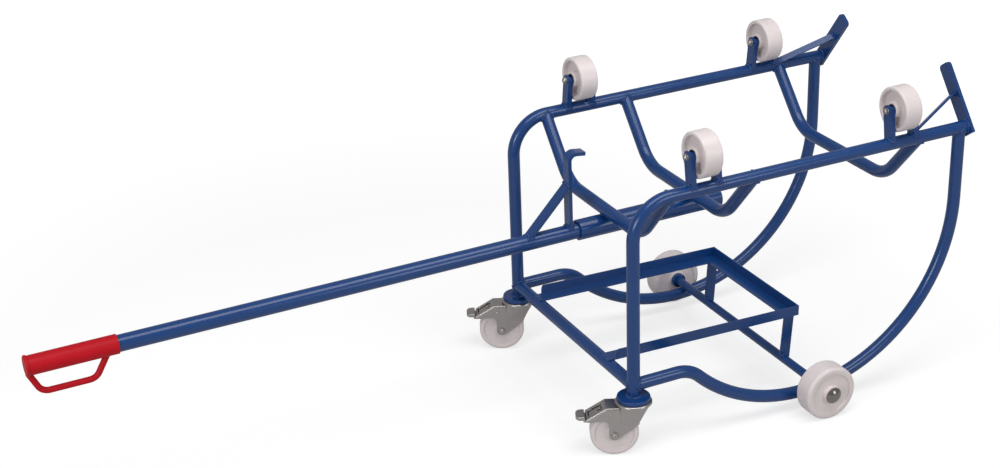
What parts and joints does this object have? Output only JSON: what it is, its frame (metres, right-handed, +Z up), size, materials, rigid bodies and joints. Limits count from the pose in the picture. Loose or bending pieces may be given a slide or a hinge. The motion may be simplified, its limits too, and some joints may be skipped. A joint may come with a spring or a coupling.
{
  "type": "drum trolley",
  "caption": "Tubular steel trolley that tips up and carries a lying drum on rollers, with rocker side frames, braked swivel casters, a drip can shelf and a long pull-out lever with a drum hook.",
  "frame": {"origin": "on the floor, under the middle of the whole trolley's box", "axes": "+X along the trolley from the lever's grip to the toe plates, +Y to the left side, +Z up"},
  "size_m": [2.0394, 0.7388, 0.728],
  "materials": {
    "powder_coat": "blue gloss powder coat",
    "polyamide": "ivory white moulded polyamide",
    "zinc": "bright zinc plate, satin",
    "cap_steel": "polished zinc-plated cap",
    "black_plastic": "black moulded washer",
    "red_plastic": "red glossy moulding"
  },
  "bodies": {
    "frame": {"lever_socket": "powder_coat", "rear_axle": "powder_coat", "front_cross_tube": "powder_coat", "front_saddle": "powder_coat", "middle_saddle": "powder_coat", "rear_saddle": "powder_coat", "right_rail": "powder_coat", "right_rocker": "powder_coat", "right_toe_plate": "powder_coat", "right_toe_brace": "powder_coat", "right_shelf_angle": "powder_coat", "right_caster_flange": "powder_coat", "right_caster_head": "zinc", "left_rail": "powder_coat", "left_rocker": "powder_coat", "left_toe_plate": "powder_coat", "left_toe_brace": "powder_coat", "left_shelf_angle": "powder_coat", "left_caster_flange": "powder_coat", "left_caster_head": "zinc", "back_shelf_angle": "powder_coat", "shelf_posts": "powder_coat", "kingpins": "zinc", "axle_collars": "powder_coat", "wheel_caps": "cap_steel", "front_right_uprights": "powder_coat", "front_left_uprights": "powder_coat", "rear_right_uprights": "powder_coat", "rear_left_uprights": "powder_coat", "roller_bolts": "zinc", "roller_nuts": "zinc", "roller_spacers": "black_plastic"},
    "lever": {"lever_tube": "powder_coat", "drum_hook": "powder_coat", "hook_brace": "powder_coat", "grip": "red_plastic"},
    "right_caster": {"right_swivel_bearing": "zinc", "right_caster_fork": "zinc", "right_brake_cover": "zinc", "right_brake_pin": "zinc", "right_wheel_bush": "zinc", "right_caster_bolt": "zinc"},
    "right_caster_wheel": {"right_caster_wheel": "polyamide"},
    "right_brake": {"right_brake_pedal": "zinc"},
    "right_rear_wheel": {"right_rear_wheel": "polyamide"},
    "front_right_roller": {"front_right_roller": "polyamide"},
    "rear_right_roller": {"rear_right_roller": "polyamide"},
    "left_caster": {"left_swivel_bearing": "zinc", "left_caster_fork": "zinc", "left_brake_cover": "zinc", "left_brake_pin": "zinc", "left_wheel_bush": "zinc", "left_caster_bolt": "zinc"},
    "left_caster_wheel": {"left_caster_wheel": "polyamide"},
    "left_brake": {"left_brake_pedal": "zinc"},
    "left_rear_wheel": {"left_rear_wheel": "polyamide"},
    "front_left_roller": {"front_left_roller": "polyamide"},
    "rear_left_roller": {"rear_left_roller": "polyamide"}
  },
  "joints": [
    {"name": "lever_slide", "type": "slide", "parent": "frame", "child": "lever", "axis": [-0.9994, 0, -0.0338], "range_m": [0, 0.3]},
    {"name": "right_caster_swivel", "type": "hinge", "parent": "frame", "child": "right_caster", "pos_m": [0.18441, -0.273, 0.12871], "axis": [-0.0291, 0, 0.9996], "continuous": true},
    {"name": "right_caster_wheel_spin", "type": "hinge", "parent": "right_caster", "child": "right_caster_wheel", "pos_m": [0.14854, -0.25525, 0.05264], "axis": [0.4224, 0.9063, 0.0123], "continuous": true},
    {"name": "right_brake_press", "type": "hinge", "parent": "right_caster", "child": "right_brake", "pos_m": [0.13043, -0.24757, 0.10823], "axis": [-0.4224, -0.9063, -0.0123], "range_deg": [0, 8]},
    {"name": "right_rear_wheel_spin", "type": "hinge", "parent": "frame", "child": "right_rear_wheel", "pos_m": [0.64352, -0.328, 0.06264], "axis": [0, 1, 0], "continuous": true},
    {"name": "front_right_roller_spin", "type": "hinge", "parent": "frame", "child": "front_right_roller", "pos_m": [0.3386, -0.26303, 0.65715], "axis": [0.9996, 0, 0.0291], "continuous": true},
    {"name": "rear_right_roller_spin", "type": "hinge", "parent": "frame", "child": "rear_right_roller", "pos_m": [0.83739, -0.26303, 0.67167], "axis": [0.9996, 0, 0.0291], "continuous": true},
    {"name": "left_caster_swivel", "type": "hinge", "parent": "frame", "child": "left_caster", "pos_m": [0.18441, 0.273, 0.12871], "axis": [-0.0291, 0, 0.9996], "continuous": true},
    {"name": "left_caster_wheel_spin", "type": "hinge", "parent": "left_caster", "child": "left_caster_wheel", "pos_m": [0.14854, 0.29075, 0.05264], "axis": [0.4224, 0.9063, 0.0123], "continuous": true},
    {"name": "left_brake_press", "type": "hinge", "parent": "left_caster", "child": "left_brake", "pos_m": [0.13043, 0.29844, 0.10823], "axis": [-0.4224, -0.9063, -0.0123], "range_deg": [0, 8]},
    {"name": "left_rear_wheel_spin", "type": "hinge", "parent": "frame", "child": "left_rear_wheel", "pos_m": [0.64352, 0.328, 0.06264], "axis": [0, 1, 0], "continuous": true},
    {"name": "front_left_roller_spin", "type": "hinge", "parent": "frame", "child": "front_left_roller", "pos_m": [0.3386, 0.26303, 0.65715], "axis": [0.9996, 0, 0.0291], "continuous": true},
    {"name": "rear_left_roller_spin", "type": "hinge", "parent": "frame", "child": "rear_left_roller", "pos_m": [0.83739, 0.26303, 0.67167], "axis": [0.9996, 0, 0.0291], "continuous": true}
  ]
}
